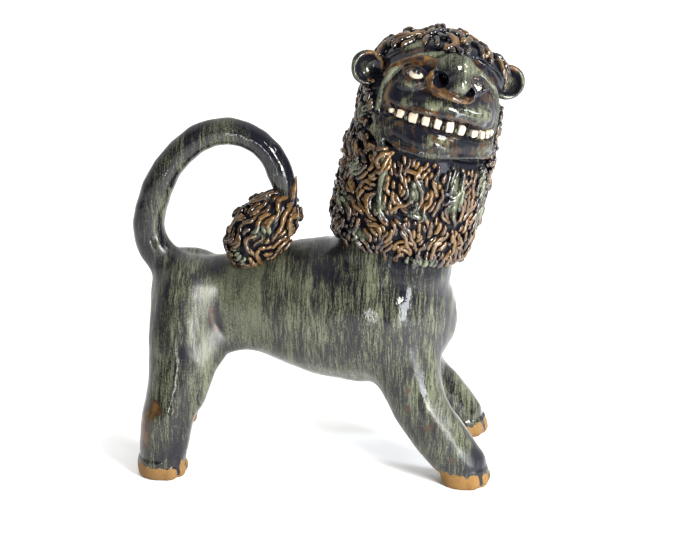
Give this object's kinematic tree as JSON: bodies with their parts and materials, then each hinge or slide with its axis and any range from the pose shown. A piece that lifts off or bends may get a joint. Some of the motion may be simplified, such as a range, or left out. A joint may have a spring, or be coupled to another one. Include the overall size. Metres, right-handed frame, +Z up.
{
  "type": "foo dog statue",
  "caption": "Standing foo dog statue in streaky green glazed stoneware, tail looped onto its back, mane and beard of pressed clay strands, grinning face turned aside, bare clay paws.",
  "frame": {"origin": "centre of the bounding box's underside, on the surface that the paws stand on", "axes": "+X towards the chest, +Y towards the animal's left side, +Z up"},
  "size_m": [0.2947, 0.1397, 0.3355],
  "materials": {
    "green_glaze": "gloss",
    "dark_glaze": "gloss",
    "amber_glaze": "gloss",
    "bare_clay": "matte",
    "white_slip": "gloss",
    "black_slip": "gloss"
  },
  "bodies": {
    "root": {"barrel": "green_glaze", "hind_right_leg": "green_glaze", "hind_left_leg": "green_glaze", "front_right_leg": "green_glaze", "front_left_leg": "green_glaze", "hind_right_paw": "bare_clay", "hind_left_paw": "bare_clay", "front_right_paw": "bare_clay", "front_left_paw": "bare_clay", "tail": "green_glaze", "tail_tuft_core": "dark_glaze", "tail_tuft_strands": "amber_glaze", "neck": "dark_glaze", "head_dome": "green_glaze", "face_slab": "green_glaze", "lower_jaw": "green_glaze", "upper_lip": "amber_glaze", "nose": "green_glaze", "right_brow": "amber_glaze", "left_brow": "amber_glaze", "right_eyeball": "white_slip", "left_eyeball": "white_slip", "right_pupil": "black_slip", "left_pupil": "black_slip", "right_ear": "green_glaze", "left_ear": "green_glaze", "tooth_1": "white_slip", "tooth_2": "white_slip", "tooth_3": "white_slip", "tooth_4": "white_slip", "tooth_5": "white_slip", "tooth_6": "white_slip", "tooth_7": "white_slip", "tooth_8": "white_slip", "tooth_9": "white_slip", "tooth_10": "white_slip", "tooth_11": "white_slip", "mane_low_front": "amber_glaze", "mane_low_left": "amber_glaze", "mane_low_back": "amber_glaze", "mane_low_right": "amber_glaze", "mane_mid_front": "amber_glaze", "mane_mid_left": "amber_glaze", "mane_mid_back": "amber_glaze", "mane_mid_right": "amber_glaze", "mane_top_left": "amber_glaze", "mane_top_back": "amber_glaze", "mane_top_right": "amber_glaze", "hair_lock_1": "amber_glaze", "hair_lock_2": "amber_glaze", "hair_lock_3": "amber_glaze", "hair_lock_4": "amber_glaze", "hair_lock_5": "amber_glaze", "hair_lock_6": "amber_glaze", "hair_lock_7": "amber_glaze", "hair_lock_8": "amber_glaze"}
  },
  "joints": []
}
